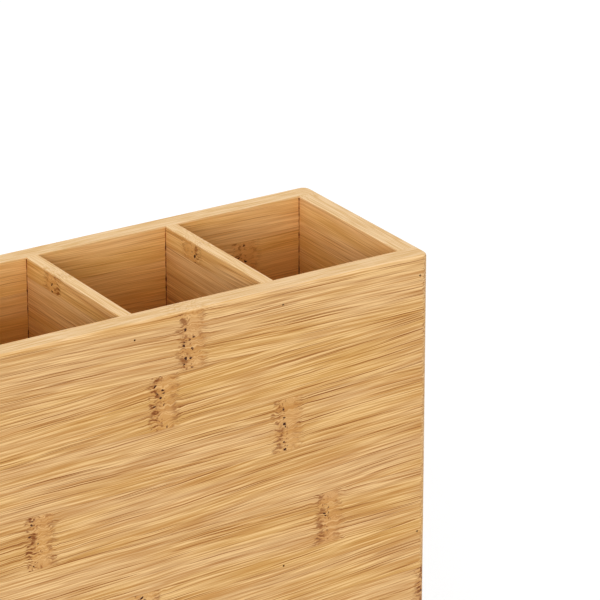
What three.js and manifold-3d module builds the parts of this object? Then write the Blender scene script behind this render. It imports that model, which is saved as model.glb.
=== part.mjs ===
// Bamboo umbrella stand: a tall open-topped box of glued and nailed boards, split by two
// dividers into three compartments, each with a loose drip tray on its floor.
// Millimetres, +X to the right, +Y to the back, +Z up. The origin is on the ground, under
// the middle of the stand.

import * as THREE from 'three';
import { mergeVertices } from 'three/addons/utils/BufferGeometryUtils.js';
import Module from 'manifold-3d';

const wasm = await Module();
wasm.setup();

// ---- Driving dimensions ----

const WALL = 10; // thickness of the four outer boards
const THIN_BOARD = 6; // thickness of the dividers and of the floor board
const COMPARTMENTS = 3;
const COMPARTMENT_WIDTH = 64; // clear width of one compartment, along X
const COMPARTMENT_DEPTH = 80; // clear depth of every compartment, along Y
const HEIGHT = 400; // from the ground to the rim
const FOOT_HEIGHT = 3;

const CORNER_RADIUS = 4.2; // upright outer corners, seen from above
const RIM_RADIUS = 1.5; // outer edge of the rim
const ARC_STEPS = 6; // facets in a quarter circle

// Brads: thin nails driven through the front and back boards into the edges behind them.
const BRAD_HEAD_RADIUS = 0.45;
const BRAD_SHANK_RADIUS = 0.35;
const BRAD_LENGTH = 20;
const BRAD_SET = 0.6; // how far the head is punched below the face
const BRAD_CLEARANCE = 0.25; // between a brad and its hole
const BRAD_SIDES = 8;
const BRADS_PER_LINE = 4;
const BRAD_BELOW_RIM_AT_SIDES = 9.3;
const BRAD_BELOW_RIM_AT_DIVIDERS = 7.6;
const BRAD_OFF_DIVIDER_CENTRE = 1.6; // divider brads sit slightly towards the outside
const LOWEST_BRAD_ABOVE_FLOOR_BOARD = 14;

// Rubber feet, glued under the corners.
const FOOT_RADIUS = 7.5;
const FOOT_BOTTOM_RADIUS = 6.5;
const FOOT_CHAMFER = 1;
const FOOT_INSET = 12; // from the outer faces to a foot's centre
const FOOT_SIDES = 24;

// Drip trays: moulded, open at the top, with a flanged rim and three ribs on the floor.
const TRAY_SIDE_GAP = 1.2; // between the flange and the compartment's walls
const TRAY_REST_GAP = 0.3; // between a tray and the floor board
const TRAY_HEIGHT = 20;
const TRAY_SKIN = 1.6;
const TRAY_FLANGE = 1.8; // how far the rim stands out from the wall
const TRAY_CORNER_RADIUS = 7;
const RIB_HEIGHT = 2;
const RIB_WIDTH = 2.4;
const RIB_SPACING = 16;
const RIB_END_GAP = 8; // between a rib's end and the tray's wall
const RIB_SINK = 0.5; // how deep a rib is rooted in the tray's floor

// ---- Sizes worked out from them ----

const INNER_WIDTH = COMPARTMENTS * COMPARTMENT_WIDTH + (COMPARTMENTS - 1) * THIN_BOARD;
const WIDTH = INNER_WIDTH + 2 * WALL;
const DEPTH = COMPARTMENT_DEPTH + 2 * WALL;
const BOARD_BOTTOM = FOOT_HEIGHT;
const FLOOR_TOP = BOARD_BOTTOM + THIN_BOARD;
const PITCH = COMPARTMENT_WIDTH + THIN_BOARD;
const THROUGH = 1; // how far a cutter runs past the face that it opens

// ---- Materials ----

function bamboo() {
  return new THREE.MeshStandardMaterial({ color: 0xd4a76e, roughness: 0.55, metalness: 0 });
}

function steel() {
  return new THREE.MeshStandardMaterial({ color: 0x4a4039, roughness: 0.5, metalness: 0.8 });
}

function blackPlastic() {
  return new THREE.MeshStandardMaterial({ color: 0x2b2c2e, roughness: 0.6, metalness: 0 });
}

function rubber() {
  return new THREE.MeshStandardMaterial({ color: 0x1c1c1d, roughness: 0.9, metalness: 0 });
}

// ---- Solids ----

// Closed geometry to a solid that can be cut and joined.
function solid(geometry) {
  const bare = geometry.index ? geometry.toNonIndexed() : geometry;
  bare.deleteAttribute('normal');
  bare.deleteAttribute('uv');
  const merged = mergeVertices(bare);
  return new wasm.Manifold(
    new wasm.Mesh({
      numProp: 3,
      vertProperties: new Float32Array(merged.attributes.position.array),
      triVerts: new Uint32Array(merged.index.array),
    }),
  );
}

// A solid back to geometry that a mesh can show.
function geometryOf(body) {
  const mesh = body.getMesh();
  const geometry = new THREE.BufferGeometry();
  geometry.setAttribute('position', new THREE.BufferAttribute(mesh.vertProperties, 3));
  geometry.setIndex(new THREE.BufferAttribute(mesh.triVerts, 1));
  return geometry;
}

// Box between two corners.
function box(low, high) {
  const size = high.map((value, axis) => value - low[axis]);
  const geometry = new THREE.BoxGeometry(...size);
  geometry.translate(...high.map((value, axis) => (value + low[axis]) / 2));
  return geometry;
}

// Rectangle about the origin with four round corners.
function roundedRectangle(width, depth, radius) {
  const x = width / 2;
  const y = depth / 2;
  const shape = new THREE.Shape();
  shape.moveTo(-x + radius, -y);
  shape.absarc(x - radius, -y + radius, radius, -Math.PI / 2, 0);
  shape.absarc(x - radius, y - radius, radius, 0, Math.PI / 2);
  shape.absarc(-x + radius, y - radius, radius, Math.PI / 2, Math.PI);
  shape.absarc(-x + radius, -y + radius, radius, Math.PI, 1.5 * Math.PI);
  return shape;
}

// Upright prism of a shape drawn in plan, from one height to another.
function prism(shape, bottom, top) {
  const geometry = new THREE.ExtrudeGeometry(shape, {
    depth: top - bottom,
    bevelEnabled: false,
    curveSegments: ARC_STEPS,
  });
  geometry.translate(0, 0, bottom);
  return geometry;
}

// ---- Brads ----

// Lines of brads: where along X, how far below the rim, and the board that they enter.
function bradLines() {
  const sideX = WIDTH / 2 - WALL / 2;
  const dividerX = PITCH / 2 + BRAD_OFF_DIVIDER_CENTRE;
  return [
    { board: 'left_side', x: -sideX, belowRim: BRAD_BELOW_RIM_AT_SIDES },
    { board: 'left_divider', x: -dividerX, belowRim: BRAD_BELOW_RIM_AT_DIVIDERS },
    { board: 'right_divider', x: dividerX, belowRim: BRAD_BELOW_RIM_AT_DIVIDERS },
    { board: 'right_side', x: sideX, belowRim: BRAD_BELOW_RIM_AT_SIDES },
  ];
}

// Every brad, with its head at the front (side -1) or at the back (side 1).
function placeBrads() {
  const brads = [];
  for (const side of [-1, 1]) {
    const face = side < 0 ? 'front' : 'back';
    for (const { board, x, belowRim } of bradLines()) {
      const lowest = FLOOR_TOP + LOWEST_BRAD_ABOVE_FLOOR_BOARD;
      const spacing = (HEIGHT - belowRim - lowest) / (BRADS_PER_LINE - 1);
      for (let i = 0; i < BRADS_PER_LINE; i += 1) {
        const name = `brad_${face}_${board}_${i + 1}`;
        brads.push({ name, board, side, x, z: lowest + i * spacing });
      }
    }
    for (let i = 0; i < COMPARTMENTS; i += 1) {
      const name = `brad_${face}_floor_board_${i + 1}`;
      const x = (i - (COMPARTMENTS - 1) / 2) * PITCH;
      brads.push({ name, board: 'floor_board', side, x, z: BOARD_BOTTOM + THIN_BOARD / 2 });
    }
  }
  return brads;
}

const BRADS = placeBrads();

// Hole for one brad, from outside the face that it is driven through to past its tip.
function bradHole({ side, x, z }) {
  const outer = DEPTH / 2 + THROUGH;
  const inner = DEPTH / 2 - BRAD_SET - BRAD_LENGTH - BRAD_CLEARANCE;
  const radius = BRAD_HEAD_RADIUS + BRAD_CLEARANCE;
  const hole = new THREE.CylinderGeometry(radius, radius, outer - inner, BRAD_SIDES);
  hole.translate(x, (side * (outer + inner)) / 2, z);
  return hole;
}

// Body with the holes of the brads that pass through it or end in it.
function drilled(body, brads) {
  let result = body;
  for (const brad of brads) {
    result = result.subtract(solid(bradHole(brad)));
  }
  return result;
}

// One brad along Y: flat head, shank and point.
function bradGeometry() {
  const neck = 0.8;
  const point = 1.5;
  const profile = [
    new THREE.Vector2(0, 0),
    new THREE.Vector2(BRAD_HEAD_RADIUS, 0),
    new THREE.Vector2(BRAD_HEAD_RADIUS, neck),
    new THREE.Vector2(BRAD_SHANK_RADIUS, 2 * neck),
    new THREE.Vector2(BRAD_SHANK_RADIUS, BRAD_LENGTH - point),
    new THREE.Vector2(0, BRAD_LENGTH),
  ];
  return new THREE.LatheGeometry(profile, BRAD_SIDES);
}

// ---- Boards ----

// Front board (side -1) or back board (side 1): full width, round at its upright outer
// corners and along the outer edge of its top.
function faceBoard(side) {
  const block = box([-WIDTH / 2, DEPTH / 2 - WALL, BOARD_BOTTOM], [WIDTH / 2, DEPTH / 2, HEIGHT]);
  const plan = prism(roundedRectangle(WIDTH, DEPTH, CORNER_RADIUS), BOARD_BOTTOM, HEIGHT);
  let body = solid(block).intersect(solid(plan)).intersect(solid(rimAlongX()));
  body = body.intersect(solid(rimAlongY()));
  if (side < 0) {
    body = body.mirror([0, 1, 0]);
  }
  return drilled(body, BRADS.filter((brad) => brad.side === side));
}

// Whole outline of the stand, extruded along X, with the rim's two long outer edges round.
function rimAlongX() {
  const geometry = rimPrism(DEPTH, WIDTH);
  geometry.rotateZ(Math.PI / 2);
  return geometry;
}

// The same, extruded along Y, for the rim's two short outer edges.
function rimAlongY() {
  return rimPrism(WIDTH, DEPTH);
}

// Upright outline with round top corners, drawn across X and extruded along Y.
function rimPrism(across, along) {
  const x = across / 2;
  const shape = new THREE.Shape();
  shape.moveTo(-x, BOARD_BOTTOM);
  shape.lineTo(x, BOARD_BOTTOM);
  shape.absarc(x - RIM_RADIUS, HEIGHT - RIM_RADIUS, RIM_RADIUS, 0, Math.PI / 2);
  shape.absarc(-x + RIM_RADIUS, HEIGHT - RIM_RADIUS, RIM_RADIUS, Math.PI / 2, Math.PI);
  const geometry = prism(shape, -along / 2, along / 2);
  geometry.rotateX(Math.PI / 2);
  return geometry;
}

// Side board: between the front and back boards, round along the outer edge of its top.
function sideBoard(name, side) {
  const depth = COMPARTMENT_DEPTH / 2;
  const outer = (side * WIDTH) / 2;
  const inner = outer - side * WALL;
  const low = [Math.min(outer, inner), -depth, BOARD_BOTTOM];
  const high = [Math.max(outer, inner), depth, HEIGHT];
  const body = solid(box(low, high)).intersect(solid(rimAlongY()));
  return drilled(body, BRADS.filter((brad) => brad.board === name));
}

// Divider: stands on the floor board and ends level with the rim.
function divider(name, side) {
  const centre = (side * PITCH) / 2;
  const low = [centre - THIN_BOARD / 2, -COMPARTMENT_DEPTH / 2, FLOOR_TOP];
  const high = [centre + THIN_BOARD / 2, COMPARTMENT_DEPTH / 2, HEIGHT];
  return drilled(solid(box(low, high)), BRADS.filter((brad) => brad.board === name));
}

// Floor board: between the four outer boards, level with their bottom edges.
function floorBoard() {
  const low = [-INNER_WIDTH / 2, -COMPARTMENT_DEPTH / 2, BOARD_BOTTOM];
  const high = [INNER_WIDTH / 2, COMPARTMENT_DEPTH / 2, FLOOR_TOP];
  return drilled(solid(box(low, high)), BRADS.filter((brad) => brad.board === 'floor_board'));
}

// ---- Trays and feet ----

// Drip tray about the origin, standing on z = 0.
function trayGeometry() {
  const rimWidth = COMPARTMENT_WIDTH - 2 * TRAY_SIDE_GAP;
  const rimDepth = COMPARTMENT_DEPTH - 2 * TRAY_SIDE_GAP;
  const wallWidth = rimWidth - 2 * TRAY_FLANGE;
  const wallDepth = rimDepth - 2 * TRAY_FLANGE;
  const clearWidth = wallWidth - 2 * TRAY_SKIN;
  const clearDepth = wallDepth - 2 * TRAY_SKIN;
  const wallRadius = TRAY_CORNER_RADIUS - TRAY_FLANGE;
  const clearRadius = wallRadius - TRAY_SKIN;

  const walls = prism(roundedRectangle(wallWidth, wallDepth, wallRadius), 0, TRAY_HEIGHT);
  const flangeShape = roundedRectangle(rimWidth, rimDepth, TRAY_CORNER_RADIUS);
  const flange = prism(flangeShape, TRAY_HEIGHT - TRAY_SKIN, TRAY_HEIGHT);
  const hollowShape = roundedRectangle(clearWidth, clearDepth, clearRadius);
  const hollow = prism(hollowShape, TRAY_SKIN, TRAY_HEIGHT + THROUGH);
  let tray = solid(walls).add(solid(flange)).subtract(solid(hollow));

  const ribEnd = clearDepth / 2 - RIB_END_GAP;
  for (const column of [-1, 0, 1]) {
    const x = column * RIB_SPACING;
    const low = [x - RIB_WIDTH / 2, -ribEnd, TRAY_SKIN - RIB_SINK];
    const high = [x + RIB_WIDTH / 2, ribEnd, TRAY_SKIN + RIB_HEIGHT];
    tray = tray.add(solid(box(low, high)));
  }
  return geometryOf(tray);
}

// Rubber foot about the origin, standing on z = 0.
function footGeometry() {
  const profile = [
    new THREE.Vector2(0, 0),
    new THREE.Vector2(FOOT_BOTTOM_RADIUS, 0),
    new THREE.Vector2(FOOT_RADIUS, FOOT_CHAMFER),
    new THREE.Vector2(FOOT_RADIUS, FOOT_HEIGHT),
    new THREE.Vector2(0, FOOT_HEIGHT),
  ];
  const geometry = new THREE.LatheGeometry(profile, FOOT_SIDES);
  geometry.rotateX(Math.PI / 2);
  return geometry;
}

// ---- Assembly ----

const stand = new THREE.Group();

function place(name, geometry, material, position = [0, 0, 0]) {
  const mesh = new THREE.Mesh(geometry, material);
  mesh.name = name;
  mesh.position.set(...position);
  stand.add(mesh);
  return mesh;
}

place('front_board', geometryOf(faceBoard(-1)), bamboo());
place('back_board', geometryOf(faceBoard(1)), bamboo());
place('left_side', geometryOf(sideBoard('left_side', -1)), bamboo());
place('right_side', geometryOf(sideBoard('right_side', 1)), bamboo());
place('left_divider', geometryOf(divider('left_divider', -1)), bamboo());
place('right_divider', geometryOf(divider('right_divider', 1)), bamboo());
place('floor_board', geometryOf(floorBoard()), bamboo());

for (const { name, side, x, z } of BRADS) {
  const brad = place(name, bradGeometry(), steel(), [x, side * (DEPTH / 2 - BRAD_SET), z]);
  brad.rotation.z = side < 0 ? 0 : Math.PI;
}

['left', 'middle', 'right'].forEach((where, i) => {
  const x = (i - 1) * PITCH;
  place(`drip_tray_${where}`, trayGeometry(), blackPlastic(), [x, 0, FLOOR_TOP + TRAY_REST_GAP]);
});

for (const [front, y] of [['front', -1], ['back', 1]]) {
  for (const [hand, x] of [['left', -1], ['right', 1]]) {
    const position = [x * (WIDTH / 2 - FOOT_INSET), y * (DEPTH / 2 - FOOT_INSET), 0];
    place(`foot_${front}_${hand}`, footGeometry(), rubber(), position);
  }
}

export default stand;
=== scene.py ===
"""Looks for the bamboo umbrella stand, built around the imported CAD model.

Boards, trays and feet are made again here with rounded edges and replace their plain CAD
solids. The brads stay as the CAD made them. Lengths are in metres, as in the frame, unless
a comment says millimetres.
"""

import math
import random

import bmesh
import bpy
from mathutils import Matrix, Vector


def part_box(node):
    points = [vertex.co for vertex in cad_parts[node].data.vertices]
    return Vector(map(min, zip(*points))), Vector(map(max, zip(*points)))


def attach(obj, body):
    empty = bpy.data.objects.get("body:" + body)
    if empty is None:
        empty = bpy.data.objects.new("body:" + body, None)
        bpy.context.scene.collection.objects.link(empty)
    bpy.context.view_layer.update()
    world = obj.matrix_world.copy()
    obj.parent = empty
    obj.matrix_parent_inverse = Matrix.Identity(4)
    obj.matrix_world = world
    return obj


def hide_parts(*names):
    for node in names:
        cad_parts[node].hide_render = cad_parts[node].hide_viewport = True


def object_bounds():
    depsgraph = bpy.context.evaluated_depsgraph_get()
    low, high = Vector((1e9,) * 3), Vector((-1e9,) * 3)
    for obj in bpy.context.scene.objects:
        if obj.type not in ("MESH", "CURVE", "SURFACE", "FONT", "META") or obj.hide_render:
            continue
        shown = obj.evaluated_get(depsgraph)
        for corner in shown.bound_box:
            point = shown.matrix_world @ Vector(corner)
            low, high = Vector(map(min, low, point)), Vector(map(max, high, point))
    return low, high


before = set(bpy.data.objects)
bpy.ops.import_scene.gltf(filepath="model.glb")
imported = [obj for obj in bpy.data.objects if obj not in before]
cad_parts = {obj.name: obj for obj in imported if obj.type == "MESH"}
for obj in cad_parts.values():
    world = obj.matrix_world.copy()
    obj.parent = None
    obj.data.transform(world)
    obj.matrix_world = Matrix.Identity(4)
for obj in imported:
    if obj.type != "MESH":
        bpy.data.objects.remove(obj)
cad_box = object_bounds()

MM = 0.001

# ---- Sizes that only the looks need ----

CORNER_RADIUS = 4.2 * MM  # upright outer corners
CORNER_STEPS = 8  # facets in a quarter circle seen from above

# Rounded edges: radius and number of facets.
RIM_EDGE = (1.5 * MM, 5)  # outer edges of the rim
CRISP_EDGE = (0.35 * MM, 2)  # inner edges of the rim
BOTTOM_EDGE = (0.6 * MM, 2)
RIB_EDGE = (0.9 * MM, 4)

CORNER_BEAD = (0.1 * MM, 0.44 * MM)  # least and greatest width of the dark bead in an inside corner
CORNER_BEAD_STEP = 1.6 * MM  # height over which the bead changes its width
CORNER_BEAD_BELOW_RIM = 0.8 * MM
HOLE_RADIUS = 0.5 * MM  # hole above a brad's head
HOLE_DEPTH = 1.2 * MM
HOLE_SIDES = 16

TRAY_FLANGE = 1.8 * MM
TRAY_SKIN = 1.6 * MM
TRAY_CORNER = 7 * MM  # upright corners, at the flange's edge
TRAY_LEAST_CORNER = 1 * MM
TRAY_UNDER_RADIUS = 2.4 * MM  # between wall and floor, seen from outside
TRAY_INNER_RADIUS = 1.8 * MM  # between wall and floor, seen from inside
TRAY_FLANGE_CHAMFER = 0.4 * MM  # under the flange, at the wall
TRAY_MOUTH_CHAMFER = 0.5 * MM
TRAY_ROUND_STEPS = 4  # facets in a quarter circle of the section
RIB_WIDTH = 2.4 * MM
RIB_HEIGHT = 2.0 * MM
RIB_SPACING = 16 * MM
RIB_END_GAP = 8 * MM
RIB_SINK = 0.3 * MM  # how deep a rib is rooted in the tray's floor

FOOT_ROUND = 1.0 * MM  # lower edge
FOOT_ROUND_STEPS = 5
FOOT_CHAMFER = 0.3 * MM  # upper edge
FOOT_SIDES = 48

SAME_PLACE = 0.01 * MM  # closer than this, two points count as level with each other
SHARP_ANGLE = 35  # degrees; smooth shading stops at edges sharper than this


# ---- Mesh tools ----

def link_mesh(name, bm):
    """Object made of a bmesh, which is freed."""
    bm.normal_update()
    mesh = bpy.data.meshes.new(name)
    bm.to_mesh(mesh)
    bm.free()
    obj = bpy.data.objects.new(name, mesh)
    bpy.context.scene.collection.objects.link(obj)
    return obj


def shade(obj):
    """Smooth shading that keeps flat faces flat and sharp edges sharp."""
    obj.data.polygons.foreach_set("use_smooth", [True] * len(obj.data.polygons))
    obj.data.set_sharp_from_angle(angle=math.radians(SHARP_ANGLE))
    weighted = obj.modifiers.new("weighted_normals", "WEIGHTED_NORMAL")
    weighted.keep_sharp = True


def prism(outline, bottom, top):
    """Upright bmesh solid over a plan outline, given anticlockwise."""
    bm = bmesh.new()
    low = [bm.verts.new((x, y, bottom)) for x, y in outline]
    high = [bm.verts.new((x, y, top)) for x, y in outline]
    bm.faces.new(reversed(low))
    bm.faces.new(high)
    for i in range(len(outline)):
        j = (i + 1) % len(outline)
        bm.faces.new((low[i], low[j], high[j], high[i]))
    bm.normal_update()
    return bm


def block(low, high):
    """Upright bmesh solid between its lowest and its highest corner."""
    outline = [(low.x, low.y), (high.x, low.y), (high.x, high.y), (low.x, high.y)]
    return prism(outline, low.z, high.z)


def bevel(bm, edges, radius, steps):
    """Rounds edges with that many facets."""
    bmesh.ops.bevel(
        bm, geom=edges, offset=radius, offset_type="OFFSET", segments=steps,
        profile=0.5, affect="EDGES", clamp_overlap=True,
    )


def edges_where(bm, test):
    """Edges whose two end points both satisfy a test."""
    return [e for e in bm.edges if test(e.verts[0].co) and test(e.verts[1].co)]


def near(a, b):
    """Whether two coordinates are the same, apart from rounding."""
    return abs(a - b) < SAME_PLACE


def arc(centre, radius, start, end, steps):
    """Points on a circle, angles in degrees, both ends included."""
    angles = [math.radians(start + (end - start) * i / steps) for i in range(steps + 1)]
    return [(centre[0] + radius * math.cos(a), centre[1] + radius * math.sin(a)) for a in angles]


# ---- Boards ----

def dark_corner_bead(bm, corner, open_way, top):
    """Adds an uneven dark bead to an upright inside corner, in material slot 1.

    open_way is the sign along X and along Y that leads from the corner into the open. The
    bead's widths are random, with a seed made from the corner's place.
    """
    chance = random.Random(round(1e4 * (corner[0] + 3 * corner[1])))
    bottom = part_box("floor_board")[1].z
    length = top - CORNER_BEAD_BELOW_RIM - bottom
    steps = int(length / CORNER_BEAD_STEP)
    rings = []
    for i in range(steps + 1):
        width = chance.uniform(*CORNER_BEAD)
        offsets = ((0, 0), (open_way[0] * width, 0), (0, open_way[1] * width))
        z = bottom + length * i / steps
        rings.append([bm.verts.new((corner[0] + x, corner[1] + y, z)) for x, y in offsets])
    faces = [bm.faces.new(rings[0]), bm.faces.new(rings[-1])]
    for below, above in zip(rings, rings[1:]):
        for i in range(3):
            j = (i + 1) % 3
            faces.append(bm.faces.new((below[i], below[j], above[j], above[i])))
    for face in faces:
        face.material_index = 1
    bmesh.ops.recalc_face_normals(bm, faces=faces)


def drill(obj, brads, face):
    """Cuts a small hole above the head of each brad into the board's face at that Y."""
    cutters = bmesh.new()
    for name in brads:
        start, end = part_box(name)
        made = bmesh.ops.create_cone(
            cutters, cap_ends=True, segments=HOLE_SIDES, radius1=HOLE_RADIUS,
            radius2=HOLE_RADIUS, depth=2 * HOLE_DEPTH,
        )
        for vert in made["verts"]:
            x, y, z = vert.co  # turned about X, so that the cutter's axis lies along Y
            vert.co = Vector(((start.x + end.x) / 2 + x, face - z, (start.z + end.z) / 2 + y))
    tool = link_mesh("hole_cutter", cutters)
    cut = obj.modifiers.new("holes", "BOOLEAN")
    cut.operation = "DIFFERENCE"
    cut.solver = "MANIFOLD"
    cut.object = tool
    bpy.context.view_layer.update()
    evaluated = obj.evaluated_get(bpy.context.evaluated_depsgraph_get())
    drilled = bpy.data.meshes.new_from_object(evaluated)
    drilled.materials.clear()
    obj.modifiers.clear()
    obj.data = drilled
    bpy.data.objects.remove(tool)


def face_board(node, outward):
    """Front (outward -1) or back (outward 1) board, as wide as the stand."""
    low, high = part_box(node)
    outer = high.y if outward > 0 else low.y
    inner = low.y if outward > 0 else high.y
    r = CORNER_RADIUS
    outline = [(low.x, inner)]
    outline += arc((low.x + r, outer - outward * r), r, 180, 180 - 90 * outward, CORNER_STEPS)
    outline += arc((high.x - r, outer - outward * r), r, 90 * outward, 0, CORNER_STEPS)
    outline += [(high.x, inner)]
    if outward > 0:
        outline.reverse()
    bm = prism(outline, low.z, high.z)
    bevel(bm, edges_where(bm, lambda p: near(p.z, low.z)), *BOTTOM_EDGE)
    rim = edges_where(bm, lambda p: near(p.z, high.z))
    outer_rim = [e for e in rim if not all(near(v.co.y, inner) for v in e.verts)]
    bevel(bm, outer_rim, *RIM_EDGE)
    inner_rim = edges_where(bm, lambda p: near(p.z, high.z) and near(p.y, inner))
    bevel(bm, inner_rim, *CRISP_EDGE)
    obj = link_mesh(node + "_shaped", bm)
    side = "front" if outward < 0 else "back"
    drill(obj, [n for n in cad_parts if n.startswith(f"brad_{side}")], outer)
    return obj


def side_board(node, outward):
    """Left (outward -1) or right (outward 1) side board, between the front and back ones."""
    low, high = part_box(node)
    outer = high.x if outward > 0 else low.x
    inner = low.x if outward > 0 else high.x
    bm = block(low, high)
    rounding = ((low.z, outer, BOTTOM_EDGE), (high.z, outer, RIM_EDGE), (high.z, inner, CRISP_EDGE))
    for z, x, edge in rounding:
        bevel(bm, edges_where(bm, lambda p: near(p.z, z) and near(p.x, x)), *edge)
    for y, into in ((low.y, 1), (high.y, -1)):
        dark_corner_bead(bm, (inner, y), (-outward, into), high.z)
    return link_mesh(node + "_shaped", bm)


def divider(node):
    """Thin board across the stand, level with the rim."""
    low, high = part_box(node)
    bm = block(low, high)
    top = edges_where(bm, lambda p: near(p.z, high.z))
    long_edges = [e for e in top if near(e.verts[0].co.x, e.verts[1].co.x)]
    bevel(bm, long_edges, *CRISP_EDGE)
    for x, outward in ((low.x, -1), (high.x, 1)):
        for y, into in ((low.y, 1), (high.y, -1)):
            dark_corner_bead(bm, (x, y), (outward, into), high.z)
    return link_mesh(node + "_shaped", bm)


def floor_board(node):
    """Board that closes the bottom."""
    bm = block(*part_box(node))
    bevel(bm, list(bm.edges), *CRISP_EDGE)
    return link_mesh(node + "_shaped", bm)


# ---- Trays and feet ----

def rounded_loop(half_x, half_y, radius):
    """Points around a rounded rectangle about the origin, anticlockwise."""
    loop = []
    corners = ((1, -1, -90), (1, 1, 0), (-1, 1, 90), (-1, -1, 180))
    for sx, sy, start in corners:
        centre = (sx * (half_x - radius), sy * (half_y - radius))
        loop += arc(centre, radius, start, start + 90, CORNER_STEPS)
    return loop


def loft(loops):
    """Closed bmesh through loops of (x, y, z) points, the first and last one capped."""
    bm = bmesh.new()
    rings = [[bm.verts.new(p) for p in loop] for loop in loops]
    for below, above in zip(rings, rings[1:]):
        for i in range(len(below)):
            j = (i + 1) % len(below)
            bm.faces.new((below[i], below[j], above[j], above[i]))
    bm.faces.new(reversed(rings[0]))
    bm.faces.new(rings[-1])
    bm.normal_update()
    return bm


def tray_profile(height):
    """Section of a tray as (inset from the flange's edge, height) from under to inside."""
    wall = TRAY_FLANGE
    clear = TRAY_FLANGE + TRAY_SKIN
    under, inner, lip = TRAY_UNDER_RADIUS, TRAY_INNER_RADIUS, TRAY_SKIN / 2
    outer_round = arc((0, 0), under, 90, 0, TRAY_ROUND_STEPS)
    lip_round = arc((0, 0), lip, -90, 90, 2 * TRAY_ROUND_STEPS)
    inner_round = arc((0, 0), inner, 0, 90, TRAY_ROUND_STEPS)
    section = [(wall + under, 0)]
    section += [(wall + under - x, under - y) for x, y in outer_round[1:]]
    section.append((wall, height - TRAY_SKIN - TRAY_FLANGE_CHAMFER))
    section.append((wall - TRAY_FLANGE_CHAMFER, height - TRAY_SKIN))
    section += [(lip - x, height - lip + y) for x, y in lip_round]
    section.append((clear - TRAY_MOUTH_CHAMFER, height))
    section.append((clear, height - TRAY_MOUTH_CHAMFER))
    section += [(clear + inner - x, TRAY_SKIN + inner - y) for x, y in inner_round]
    return section


def add_rib(bm, low, high):
    """Adds a rib with rounded upper edges to a tray."""
    rib = block(low, high)
    bevel(rib, [e for e in rib.edges if any(near(v.co.z, high.z) for v in e.verts)], *RIB_EDGE)
    scrap = bpy.data.meshes.new("rib")
    rib.to_mesh(scrap)
    rib.free()
    bm.from_mesh(scrap)
    bpy.data.meshes.remove(scrap)


def drip_tray(node):
    """Moulded tray with a rolled rim, round inner corners and three ribs."""
    low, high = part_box(node)
    centre = (low + high) / 2
    half = (high - low) / 2
    loops = []
    for inset, z in tray_profile(high.z - low.z):
        radius = max(TRAY_CORNER - inset, TRAY_LEAST_CORNER)
        loop = rounded_loop(half.x - inset, half.y - inset, radius)
        loops.append([(centre.x + x, centre.y + y, low.z + z) for x, y in loop])
    bm = loft(loops)
    rib_half = half.y - TRAY_FLANGE - TRAY_SKIN - RIB_END_GAP
    base = low.z + TRAY_SKIN - RIB_SINK
    top = low.z + TRAY_SKIN + RIB_HEIGHT
    for column in (-1, 0, 1):
        x = centre.x + column * RIB_SPACING
        add_rib(bm, Vector((x - RIB_WIDTH / 2, centre.y - rib_half, base)),
                Vector((x + RIB_WIDTH / 2, centre.y + rib_half, top)))
    return link_mesh(node + "_shaped", bm)


def foot(node):
    """Rubber foot: a low disc with a rounded lower edge."""
    low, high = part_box(node)
    centre = (low + high) / 2
    radius = (high.x - low.x) / 2
    height = high.z - low.z
    lower_edge = arc((radius - FOOT_ROUND, 0), FOOT_ROUND, 90, 0, FOOT_ROUND_STEPS)
    section = [(r, FOOT_ROUND - y) for r, y in lower_edge]
    section += [(radius, height - FOOT_CHAMFER), (radius - FOOT_CHAMFER, height)]
    loops = []
    for r, z in section:
        ring = arc((centre.x, centre.y), r, 0, 360, FOOT_SIDES)[:-1]
        loops.append([(x, y, low.z + z) for x, y in ring])
    return link_mesh(node + "_shaped", loft(loops))


# ---- Shader tools ----

MIX_INPUTS = (0, 6, 7)  # the colour mix node's factor and its two colours
MIX_RESULT = 2


def srgb(*channels):
    """Linear colour with alpha from 0 to 255 display values."""
    values = [c / 255 for c in channels]
    linear = [v / 12.92 if v <= 0.04045 else ((v + 0.055) / 1.055) ** 2.4 for v in values]
    return (*linear, 1.0)


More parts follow.
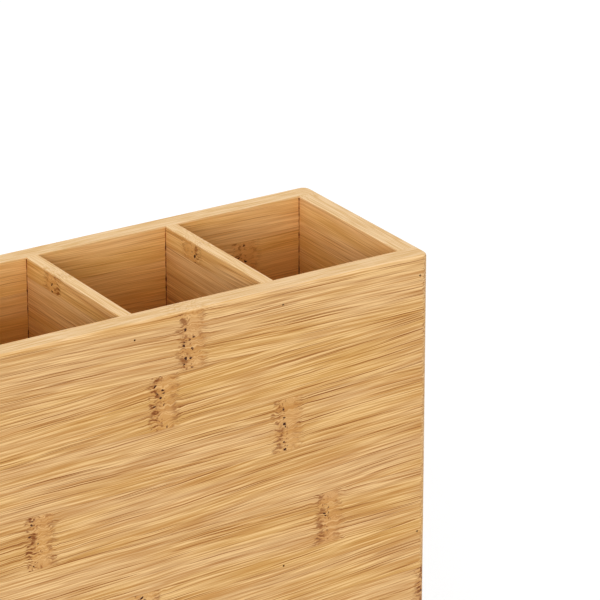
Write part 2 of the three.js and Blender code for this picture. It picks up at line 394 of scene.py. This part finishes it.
class Graph:
    """Short calls for adding nodes to a tree; an argument may be a number or a socket."""

    def __init__(self, tree):
        self.tree = tree

    def put(self, socket, value):
        if isinstance(value, bpy.types.NodeSocket):
            self.tree.links.new(value, socket)
        else:
            socket.default_value = value

    def add(self, kind, settings=None, **inputs):
        node = self.tree.nodes.new(kind)
        for key, value in (settings or {}).items():
            setattr(node, key, value)
        for key, value in inputs.items():
            self.put(node.inputs[key], value)
        return node

    def math(self, operation, *values, clamp=False):
        node = self.add("ShaderNodeMath", {"operation": operation, "use_clamp": clamp})
        for socket, value in zip(node.inputs, values):
            self.put(socket, value)
        return node.outputs[0]

    def ramp(self, value, low, high):
        """0 at low, 1 at high, smooth between them."""
        node = self.add("ShaderNodeMapRange", {"interpolation_type": "SMOOTHSTEP"})
        for name, given in (("Value", value), ("From Min", low), ("From Max", high)):
            self.put(node.inputs[name], given)
        return node.outputs["Result"]

    def vector(self, x, y, z):
        node = self.add("ShaderNodeCombineXYZ")
        for socket, value in zip(node.inputs, (x, y, z)):
            self.put(socket, value)
        return node.outputs[0]

    def noise(self, vector, detail=2.0, roughness=0.5):
        node = self.add("ShaderNodeTexNoise", {"noise_dimensions": "3D"})
        self.put(node.inputs["Vector"], vector)
        node.inputs["Scale"].default_value = 1.0
        node.inputs["Detail"].default_value = detail
        node.inputs["Roughness"].default_value = roughness
        return node.outputs["Fac"]

    def mix(self, factor, a, b, blend="MIX"):
        node = self.add("ShaderNodeMix", {"data_type": "RGBA", "blend_type": blend})
        for index, value in zip(MIX_INPUTS, (factor, a, b)):
            self.put(node.inputs[index], value)
        return node.outputs[MIX_RESULT]

    def position(self):
        """X, Y and Z of the point, in metres in the frame."""
        place = self.add("ShaderNodeTexCoord").outputs["Object"]
        return self.add("ShaderNodeSeparateXYZ", Vector=place).outputs

    def bump(self, height, strength, distance):
        node = self.add("ShaderNodeBump", Height=height, Strength=strength, Distance=distance)
        return node.outputs[0]


def new_material(name):
    """Empty material with its output and principled shader, and the graph to fill it."""
    material = bpy.data.materials.new(name)
    material.use_nodes = True
    material.node_tree.nodes.clear()
    graph = Graph(material.node_tree)
    output = graph.add("ShaderNodeOutputMaterial")
    shader = graph.add("ShaderNodeBsdfPrincipled")
    material.node_tree.links.new(shader.outputs[0], output.inputs[0])
    return material, graph, shader


# ---- Bamboo: lengths in millimetres ----

PINKISH = srgb(197, 161, 114)
OCHRE = srgb(192, 152, 91)
WARM = srgb(186, 130, 62)
STREAK = srgb(134, 78, 4)
FINE_LINE = srgb(162, 106, 28)
PALE_LINE = srgb(226, 194, 142)
# Rim colours: the sanded wood's paler tone with painted sheen and light from above mixed in
RIM_SANDED_AND_SHEEN = srgb(233, 202, 158)
RIM_WARM_SANDED_AND_SHEEN = srgb(218, 179, 120)
MARK_TAN = srgb(186, 134, 74)
MARK_BROWN = srgb(122, 66, 4)
PINHOLE = srgb(66, 26, 0)

STRIP = 24.7  # height of one laminated strip
JOINT_LINE = (0.3, 0.1)  # distance from a joint where its line begins and where it is full
RIM_BAND = (1.1, 0.2)  # the same for the paler rim, sanded and painted with sheen, below the top
MARK_SPACING = 260.0  # between the node marks of one strip
MARK_HALF = 6.5  # half the length of a node mark along the grain
MARK_RAGGED = 7.0  # how far noise shifts a mark's borders
MARK_BAND = (MARK_HALF + 1.0, MARK_HALF - 2.5)  # where the tan band begins and where it is full
MARK_CLEAR = (MARK_HALF - 4, MARK_HALF + 1)  # where the dark fibres are weakest and where full
SMUDGE_PLACE = MARK_HALF - 1.5  # middle of the smudges at either end of a mark
SMUDGE_REACH = (3.6, 0.5)  # from there, where the smudges begin and where they are full
DARKER_END = (3.0, -3.0)  # along the mark, from its paler end to its darker one
PINHOLE_ROW = -2.4  # place of the pinholes along the mark, from its middle
PINHOLE_REACH = (3.4, 1.6)  # from the row, where the pinholes begin and where they are full

INSIDE_PAINTED_LIGHT = 1.37  # painted light: how much lighter the inner faces are painted than the outer ones
INSIDE_FIBRES = 0.5  # strength of the fibres on the inner faces
DEEP_SHADE_TINT = (1.0, 0.80, 0.43, 1.0)  # painted shade: the inner faces' colour low down is multiplied by this, darker and warmer deep inside
DEEP_SHADE_RANGE = (4, 40)  # below the rim, where the painted shade begins and where it is full
INNER_DEPTH = (9.0, 9.8)  # behind the outer face, where the inner one begins and where full

# How the fibres leave a straight line: length and height of a noise cell, and the whole
# movement across the fibres.
LEAN = (110, 40, 4.5)
SHIVER = (14, 5, 0.5)
KNOT = (4, 3.4, 5.0)  # in node marks, whose borders it also makes ragged
KNOT_THROUGH = 6  # its cell's size through the board
KNOT_REACH = 8.0  # along the grain from the middle of the mark
STRIP_TILT = 0.04  # range of the strips' random slopes
STRIP_SHIFT = 4000.0  # range of the random shift that keeps the strips from being alike

# Noise patterns: length along and width across the fibres of a cell, and a shift that keeps
# the patterns apart.
PATCHES = (70, 9, 0.0)
BANDS = (75, 3.6, 20.0)
FINE_GRAIN = (30, 0.44, 40.0)
SMUDGES = (3.2, 0.8, 11.0)

# Noise values from which and to which an effect comes in.
OCHRE_RANGE = (0.25, 0.75)  # of the patches
WARM_RANGE = (0.50, 0.74)  # of the bands
CROWDED_RANGE = (0.36, 0.62)  # of the bands, where the dark fibres are strongest
DARK_RANGE = (0.52, 0.62)  # of the fine grain
PALE_RANGE = (0.46, 0.37)  # of the fine grain
RIM_RANGE = (0.40, 0.62)  # of the fine grain
SMUDGE_RANGE = (0.46, 0.60)

# Layers of separate dark fibres: length and width of a cell, and the radius of the fibre in
# it from 0 to 1.
FIBRES = ((110, 0.85, 0.25), (60, 0.60, 0.31), (170, 1.8, 0.13))
FIBRE_LUCK = (-0.1, 0.75)  # a fibre's random value, from none to full strength
FULL_RADIUS = 0.7  # share of a fibre's radius that has its full strength

# Layers of pinholes: length, width and radius as for fibres, the colour and its strength.
PINHOLES = ((1.7, 1.1, 0.36, MARK_BROWN, 0.55), (3.0, 2.1, 0.30, PINHOLE, 1.0))
PINHOLES_LEFT_OUT = 0.25  # share of the cells that stay empty

# How much of a colour is mixed in where its effect is full.
WARM_SHARE = 0.2
DARK_SHARE = 0.45
PALE_SHARE = 0.60
TAN_SHARE = 0.35
JOINT_SHARE = 0.2
# painted sheen, with the sanded rim's paler tone
RIM_SANDED_AND_SHEEN_SHARE = 0.85


class Bamboo(Graph):
    """Node group for laminated bamboo.

    Along runs with the grain, Down is the distance below the rim and Through runs across
    the board's thickness, all in metres. First is the height of the strip at the rim in
    millimetres. Marks gives the places of the node marks in the three topmost strips, along
    the grain; Fixed is 1 to use them and 0 to scatter those marks like all the others.
    Inside is 1 on the inner faces. Tilt is how steeply the fibres rise below the rim's
    strip. The last input is how far the inner faces are painted darker and warmer low down,
    as painted shade.
    """

    INPUTS = ("Along", "Down", "Through", "Seed", "First", "Marks", "Fixed", "Inside", "Tilt",
              "Warmth")
    OUTPUTS = {"Color": "NodeSocketColor", "Roughness": "NodeSocketFloat",
               "Height": "NodeSocketFloat"}

    def __init__(self):
        super().__init__(bpy.data.node_groups.new("bamboo", "ShaderNodeTree"))
        for name in self.INPUTS:
            kind = "NodeSocketVector" if name == "Marks" else "NodeSocketFloat"
            self.tree.interface.new_socket(name, in_out="INPUT", socket_type=kind)
        for name, kind in self.OUTPUTS.items():
            self.tree.interface.new_socket(name, in_out="OUTPUT", socket_type=kind)
        self.given = self.add("NodeGroupInput").outputs
        self.result = self.add("NodeGroupOutput")
        for name in ("Along", "Down", "Through"):
            setattr(self, name.lower(), self.math("MULTIPLY", self.given[name], 1 / MM))
        self.choose_strip()
        self.find_mark()
        self.bend_fibres()
        color, fine = self.wood()
        color, hole = self.mark(color)
        color = self.joint(color)
        # painted light and shade on the inner faces
        color = self.paint_inner_light_and_shade(color)
        # painted sheen and top light, with the sanded paler tone, on the rim
        color = self.rim(color, fine)
        self.put(self.result.inputs["Color"], color)
        rough = self.math("ADD", self.between(0.40, 0.55, fine), self.scaled(hole, 0.3))
        self.put(self.result.inputs["Roughness"], rough)
        height = self.math("ADD", self.scaled(fine, -0.35), self.scaled(hole, -5.0))
        self.put(self.result.inputs["Height"], height)

    def scaled(self, value, factor):
        return self.math("MULTIPLY", value, factor)

    def between(self, low, high, factor):
        """low where factor is 0 and high where it is 1."""
        return self.math("ADD", self.scaled(factor, high - low), low)

    def centred(self, value, factor):
        """A noise value turned into something between plus and minus half of factor."""
        return self.scaled(self.math("SUBTRACT", value, 0.5), factor)

    def choose_strip(self):
        """Index of the strip, the height inside it and three random values for it."""
        below = self.math("DIVIDE", self.math("SUBTRACT", self.down, self.given["First"]), STRIP)
        index = self.math("ADD", self.math("FLOOR", below), 1.0)
        self.strip = self.math("MAXIMUM", index, 0.0)
        self.in_strip = self.math("FRACT", below)
        chance = self.add("ShaderNodeTexWhiteNoise", {"noise_dimensions": "2D"},
                          Vector=self.vector(self.strip, self.given["Seed"], 0.0))
        self.dice = self.add("ShaderNodeSeparateColor", Color=chance.outputs["Color"]).outputs

    def find_mark(self):
        """Distance along the grain to the strip's nearest node mark, signed."""
        free = self.centred(self.dice[0], MARK_SPACING)
        marks = self.add("ShaderNodeSeparateXYZ", Vector=self.given["Marks"]).outputs
        place = free
        for index in range(3):
            here = self.math("COMPARE", self.strip, float(index), 0.5)
            step = self.math("SUBTRACT", self.scaled(marks[index], 1 / MM), free)
            step = self.math("MULTIPLY", step, self.math("MULTIPLY", here, self.given["Fixed"]))
            place = self.math("ADD", place, step)
        offset = self.math("SUBTRACT", self.along, place)
        self.to_mark = self.math("WRAP", offset, MARK_SPACING / 2, -MARK_SPACING / 2)

    def cells(self, length, height, depth):
        """Coordinates for noise with cells of that length along the grain and that height.

        depth picks the slice of the noise.
        """
        return self.vector(self.scaled(self.run, 1 / length), self.scaled(self.down, 1 / height),
                           depth)

    def bend_fibres(self):
        """Run and level: position along and across the fibres, which lean and ripple."""
        self.run = self.math("ADD", self.along, self.scaled(self.dice[1], STRIP_SHIFT))
        *cell, movement = LEAN
        lean = self.centred(self.noise(self.cells(*cell, self.scaled(self.dice[2], 9.0)), 1.0),
                            movement)
        tilt = self.math("MULTIPLY", self.given["Tilt"], self.math("MINIMUM", self.strip, 1.0))
        tilt = self.math("ADD", tilt, self.centred(self.dice[1], STRIP_TILT))
        lean = self.math("ADD", lean, self.math("MULTIPLY", self.along, tilt))
        *cell, movement = SHIVER
        shiver = self.centred(self.noise(self.cells(*cell, 3.0), 1.0), movement)
        *cell, movement = KNOT
        depth = self.scaled(self.through, 1 / KNOT_THROUGH)
        self.wobble = self.noise(self.cells(*cell, depth), 2.0)
        close = self.math("POWER", self.math("DIVIDE", self.to_mark, KNOT_REACH), 2.0)
        close = self.math("EXPONENT", self.scaled(close, -1.0))
        ripple = self.math("MULTIPLY", self.centred(self.wobble, movement), close)
        self.level = self.math("ADD", self.math("ADD", self.down, lean),
                               self.math("ADD", shiver, ripple))

    def stretched(self, length, width, shift):
        """Coordinates in which a fibre of that length and width has size 1."""
        return self.vector(self.math("ADD", self.scaled(self.run, 1 / length), shift),
                           self.scaled(self.level, 1 / width),
                           self.scaled(self.through, 1 / width))

    def spindles(self, length, width, radius):
        """Separate fibres that taper at both ends, and one random value for each."""
        cells = self.add("ShaderNodeTexVoronoi", {"feature": "F1", "voronoi_dimensions": "3D"},
                         Vector=self.stretched(length, width, shift=length), Scale=1.0)
        luck = self.add("ShaderNodeSeparateColor", Color=cells.outputs["Color"]).outputs[0]
        return self.ramp(cells.outputs["Distance"], radius, radius * FULL_RADIUS), luck

    def wood(self):
        """Colour of the wood with its fibres, and the noise of its fine grain."""
        patches = self.noise(self.stretched(*PATCHES), 1.0)
        bands = self.noise(self.stretched(*BANDS), 2.0)
        fine = self.noise(self.stretched(*FINE_GRAIN), 1.0)
        tone = self.math("ADD", self.centred(self.dice[2], 0.6), self.ramp(patches, *OCHRE_RANGE))
        color = self.mix(self.math("ADD", tone, 0.0, clamp=True), PINKISH, OCHRE)
        color = self.mix(self.scaled(self.ramp(bands, *WARM_RANGE), WARM_SHARE), color, WARM)
        weaker = self.between(1.0, INSIDE_FIBRES, self.given["Inside"])
        for limits, share, line in ((DARK_RANGE, DARK_SHARE, FINE_LINE),
                                    (PALE_RANGE, PALE_SHARE, PALE_LINE)):
            thin = self.math("MULTIPLY", self.ramp(fine, *limits), self.scaled(weaker, share))
            color = self.mix(thin, color, line)

        crowded = self.between(0.65, 1.0, self.ramp(bands, *CROWDED_RANGE))
        clear = self.ramp(self.math("ABSOLUTE", self.to_mark), *MARK_CLEAR)
        clear = self.math("MULTIPLY", self.between(0.25, 1.0, clear), weaker)
        for layer in FIBRES:
            spindle, luck = self.spindles(*layer)
            amount = self.math("MULTIPLY", spindle, self.ramp(luck, *FIBRE_LUCK))
            amount = self.math("MULTIPLY", amount, self.math("MULTIPLY", crowded, clear))
            color = self.mix(amount, color, STREAK)
        return color, fine

    def mark(self, color):
        """Node mark: smooth tan band, brown smudges at its borders and a row of pinholes."""
        ragged = self.math("ADD", self.to_mark, self.centred(self.wobble, MARK_RAGGED))
        distance = self.math("ABSOLUTE", ragged)
        color = self.mix(self.scaled(self.ramp(distance, *MARK_BAND), TAN_SHARE), color, MARK_TAN)
        strength = self.between(0.65, 1.0, self.dice[1])
        side = self.between(0.5, 1.0, self.ramp(ragged, *DARKER_END))
        edge = self.math("ABSOLUTE", self.math("SUBTRACT", distance, SMUDGE_PLACE))
        edge = self.math("MULTIPLY", self.ramp(edge, *SMUDGE_REACH), side)
        smudge = self.ramp(self.noise(self.stretched(*SMUDGES), 3.0), *SMUDGE_RANGE)
        smudge = self.math("MULTIPLY", self.math("MULTIPLY", smudge, edge), strength)
        color = self.mix(smudge, color, MARK_BROWN)
        row = self.math("ABSOLUTE", self.math("SUBTRACT", ragged, PINHOLE_ROW))
        for length, width, radius, dark, share in PINHOLES:
            hole, luck = self.spindles(length, width, radius)
            hole = self.math("MULTIPLY", hole, self.ramp(row, *PINHOLE_REACH))
            there = self.math("GREATER_THAN", luck, PINHOLES_LEFT_OUT)
            hole = self.math("MULTIPLY", hole, there)
            color = self.mix(self.scaled(hole, share), color, dark)
        return color, hole

    def joint(self, color):
        """Faint line where two strips are glued together."""
        edge = self.math("MINIMUM", self.in_strip, self.math("SUBTRACT", 1.0, self.in_strip))
        line = self.ramp(edge, *(distance / STRIP for distance in JOINT_LINE))
        below_rim = self.math("GREATER_THAN", self.down, self.scaled(self.given["First"], 0.9))
        line = self.math("MULTIPLY", line, below_rim)
        return self.mix(self.scaled(line, JOINT_SHARE), color, STREAK)

    def paint_inner_light_and_shade(self, color):
        """Painted light and shade: lighter on the inner faces, and painted darker and warmer there
        with the depth.
        """
        # painted light: the inner faces are made lighter than the outer ones
        gain = self.between(1.0, INSIDE_PAINTED_LIGHT, self.given["Inside"])
        color = self.mix(1.0, color, self.vector(gain, gain, gain), "MULTIPLY")
        # painted shade: low down, the inner faces take on a darker, warmer tint
        deep = self.math("MULTIPLY", self.ramp(self.down, *DEEP_SHADE_RANGE), self.given["Inside"])
        deep = self.math("MULTIPLY", deep, self.given["Warmth"])
        return self.mix(deep, color, self.mix(1.0, color, DEEP_SHADE_TINT, "MULTIPLY"))

    def rim(self, color, fine):
        """Paler top edge: partly the sanded wood, partly a painted highlight for the sheen and
        light it catches from above.
        """
        # painted highlight for sheen and top light, with the sanded paler tone, over the rim's band
        at_rim = self.scaled(self.ramp(self.down, *RIM_BAND), RIM_SANDED_AND_SHEEN_SHARE)
        return self.mix(at_rim, color, self.mix(self.ramp(fine, *RIM_RANGE), RIM_SANDED_AND_SHEEN, RIM_WARM_SANDED_AND_SHEEN))


BAMBOO = Bamboo().tree
LYING_START = 0.2  # added to Y so that it is above 0 all over a lying board, in metres


def bamboo(name, grain, seed, outer=None, inside=1.0, first=26.7, marks=None, tilt=0.0,
           warmth=0.38, lying=False):
    """Bamboo for one board, whose grain runs along X or Y.

    outer is where its outer face is, if it has one; inside is how far its faces count as
    inner ones if it has none. first is the height of the strip at the rim in mm, marks
    places its three topmost node marks, tilt is how steeply its fibres rise, and the next
    argument how much darker and warmer shade is painted on its inner faces with the depth.
    The strips of a lying board are side by side along Y.
    """
    material, g, shader = new_material(name)
    x, y, z = g.position()
    along, through = (x, y) if grain == "X" else (y, x)
    down = g.math("SUBTRACT", cad_box[1][2], z)
    if lying:
        down, through = g.math("ADD", y, LYING_START), z
    if outer is not None:
        deep = g.math("ABSOLUTE", g.math("SUBTRACT", through, outer))
        between_ends = g.math("LESS_THAN", g.math("ABSOLUTE", along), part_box("right_side")[0].x)
        inner_side = g.ramp(deep, *(distance * MM for distance in INNER_DEPTH))
        inside = g.math("MULTIPLY", inner_side, between_ends)
    wood = g.add("ShaderNodeGroup", {"node_tree": BAMBOO}, Along=along, Down=down,
                 Through=through, Seed=seed, First=first, Marks=marks or (0, 0, 0),
                 Fixed=1.0 if marks else 0.0, Inside=inside, Tilt=tilt, Warmth=warmth).outputs
    g.put(shader.inputs["Base Color"], wood["Color"])
    g.put(shader.inputs["Roughness"], wood["Roughness"])
    shader.inputs["IOR"].default_value = 1.45
    shader.inputs["Specular IOR Level"].default_value = 0.4
    g.put(shader.inputs["Normal"], g.bump(wood["Height"], 0.4, 0.1 * MM))
    return material


# ---- Other materials ----

CORNER_DARK = srgb(92, 46, 14)
CORNER_PALER = srgb(158, 98, 46)
CORNER_CELLS = (200.0, 200.0, 330.0)  # noise cells in a metre along X, Y and Z

STEEL = (srgb(38, 30, 26), srgb(84, 72, 62))
PLASTIC = (srgb(30, 31, 33), srgb(46, 47, 50))
RUBBER = (srgb(20, 20, 21), srgb(38, 38, 38))


def dark_corner_material():
    """Dark, uneven line in the inside corners."""
    material, g, shader = new_material("dark_corner_line")
    place = [g.math("MULTIPLY", axis, cells) for axis, cells in zip(g.position(), CORNER_CELLS)]
    uneven = g.noise(g.vector(*place), 3.0, 0.6)
    g.put(shader.inputs["Base Color"], g.mix(g.ramp(uneven, 0.42, 0.56), CORNER_DARK, CORNER_PALER))
    shader.inputs["Specular IOR Level"].default_value = 0.15
    g.put(shader.inputs["Roughness"], g.math("ADD", g.math("MULTIPLY", uneven, 0.3), 0.45))
    return material


def grained(name, colors, cell, roughness, bump_depth, metallic=0.0):
    """Moulded or metal surface with a fine grain; cell is the grain's size."""
    material, g, shader = new_material(name)
    position = g.position()

    def noise(size, detail, fineness):
        place = g.vector(*(g.math("DIVIDE", axis, size) for axis in position))
        return g.noise(place, detail, fineness)

    grain = noise(cell, 3.0, 0.6)
    cloud = noise(30 * cell, 2.0, 0.5)
    mixed = g.math("ADD", g.math("MULTIPLY", grain, 0.5), g.math("MULTIPLY", cloud, 0.5))
    g.put(shader.inputs["Base Color"], g.mix(g.ramp(mixed, 0.3, 0.7), *colors))
    g.put(shader.inputs["Roughness"], g.math("ADD", g.math("MULTIPLY", cloud, 0.2), roughness))
    g.put(shader.inputs["Normal"], g.bump(grain, 0.5, bump_depth))
    shader.inputs["Metallic"].default_value = metallic
    return material


# ---- Put the object together ----

# Node marks of the three topmost strips: distances from the right-hand ends of the front and
# the back board, and from a divider's front end.
FRONT_MARKS = (-120.7 * MM, -134.5 * MM, -73.3 * MM)
BACK_MARKS = (-190 * MM, -38.8 * MM, -150 * MM)
DIVIDER_MARKS = (58 * MM, -50 * MM, -90 * MM)


def shifted(places, start):
    return tuple(start + place for place in places)


def dress(obj, node, body, slot, *materials):
    """Gives a shaped piece its materials, and the place of its CAD node in the frame."""
    for material in materials:
        obj.data.materials.append(material)
    shade(obj)
    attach(obj, body)
    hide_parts(node)


def build_stand():
    """Boards of the stand; every one has bamboo of its own."""
    dark_corner_line = dark_corner_material()
    right_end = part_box("front_board")[1].x
    front_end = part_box("right_divider")[0].y
    wood = bamboo("bamboo_front", "X", seed=87.0, outer=cad_box[0][1], tilt=0.04,
                  marks=shifted(FRONT_MARKS, right_end))
    dress(face_board("front_board", -1), "front_board", "stand", "bamboo_board", wood)
    # the back board's inner face gets stronger painted shade low down
    wood = bamboo("bamboo_back", "X", seed=86.0, outer=cad_box[1][1], first=16.0, warmth=0.85,
                  marks=shifted(BACK_MARKS, right_end))
    dress(face_board("back_board", 1), "back_board", "stand", "bamboo_board", wood)
    for node, outward, seed in (("left_side", -1, 23.0), ("right_side", 1, 58.0)):
        wood = bamboo("bamboo_" + node, "Y", seed, outer=outward * cad_box[1][0], first=20.0)
        dress(side_board(node, outward), node, "stand", "bamboo_board", wood, dark_corner_line)
    for node, seed in (("left_divider", 43.0), ("right_divider", 147.0)):
        # the dividers' faces get the strongest painted shade low down
        wood = bamboo("bamboo_" + node, "Y", seed, inside=0.65, first=9.0, warmth=1.25,
                      marks=shifted(DIVIDER_MARKS, front_end))
        dress(divider(node), node, "stand", "bamboo_divider", wood, dark_corner_line)
    wood = bamboo("bamboo_floor", "X", seed=71.0, lying=True)
    dress(floor_board("floor_board"), "floor_board", "stand", "bamboo_floor", wood)


def build_fittings():
    """Materials for the CAD's brads, and the trays and feet."""
    steel = grained("brad_steel", STEEL, 0.2 * MM, 0.45, 0.01 * MM, metallic=0.85)
    for name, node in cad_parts.items():
        if name.startswith("brad_"):
            node.data.materials.clear()
            node.data.materials.append(steel)
    plastic = grained("tray_plastic", PLASTIC, 0.5 * MM, 0.42, 0.03 * MM)
    rubber = grained("foot_rubber", RUBBER, 0.4 * MM, 0.7, 0.05 * MM)
    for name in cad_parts:
        if name.startswith("drip_tray_"):
            dress(drip_tray(name), name, name, "tray_plastic", plastic)
        elif name.startswith("foot_"):
            dress(foot(name), name, "stand", "foot_rubber", rubber)


# ---- Studio ----

CAMERA_PLACE = Vector((-0.8195, -1.4044, 1.0439))
CAMERA_TURN = 32.55  # degrees to the right of straight back
CAMERA_DIP = 22.06  # degrees below level
CAMERA_LENS = 243.9  # mm
CAMERA_SENSOR = 36  # mm wide
FAR_CLIP = 100

FLOOR_HALF = 60  # half the floor's width, so large that its edge never shows
FLOOR_THICKNESS = 0.02
FLOOR_COLOR = (0.96, 0.96, 0.96, 1)

SKY_STRENGTH = 1.04  # even white light from all sides
WINDOW_STRENGTH = 1.2
WINDOW_SIZE = 24  # degrees across, as seen from the object
WINDOW_TILT = 77  # degrees away from straight down
WINDOW_TURN = -42  # degrees about the vertical
DISPLAY_GAMMA = 0.85


def build_camera():
    data = bpy.data.cameras.new("camera")
    data.sensor_width = CAMERA_SENSOR
    data.lens = CAMERA_LENS
    data.clip_end = FAR_CLIP
    camera = bpy.data.objects.new("camera", data)
    camera.location = CAMERA_PLACE
    camera.rotation_euler = (math.radians(90 - CAMERA_DIP), 0, math.radians(-CAMERA_TURN))
    bpy.context.scene.collection.objects.link(camera)
    bpy.context.scene.camera = camera


def build_floor():
    low = Vector((-FLOOR_HALF, -FLOOR_HALF, -FLOOR_THICKNESS))
    ground = link_mesh("studio_floor", block(low, Vector((FLOOR_HALF, FLOOR_HALF, 0))))
    material, _, shader = new_material("studio_floor")
    shader.inputs["Base Color"].default_value = FLOOR_COLOR
    shader.inputs["Roughness"].default_value = 0.9
    shader.inputs["Specular IOR Level"].default_value = 0.1
    ground.data.materials.append(material)


def build_lights():
    """Even light from all sides, one large soft window and the display's brightness."""
    scene = bpy.context.scene
    scene.world = bpy.data.worlds.new("studio")
    scene.world.use_nodes = True
    background = scene.world.node_tree.nodes["Background"]
    background.inputs["Color"].default_value = (1, 1, 1, 1)
    background.inputs["Strength"].default_value = SKY_STRENGTH
    data = bpy.data.lights.new("window", "SUN")
    data.energy = WINDOW_STRENGTH
    data.angle = math.radians(WINDOW_SIZE)
    window = bpy.data.objects.new("window", data)
    window.rotation_euler = (math.radians(WINDOW_TILT), 0, math.radians(WINDOW_TURN))
    scene.collection.objects.link(window)
    scene.view_settings.view_transform = "Standard"
    scene.view_settings.look = "None"
    scene.view_settings.gamma = DISPLAY_GAMMA


build_camera()
build_stand()
build_fittings()
build_floor()
build_lights()
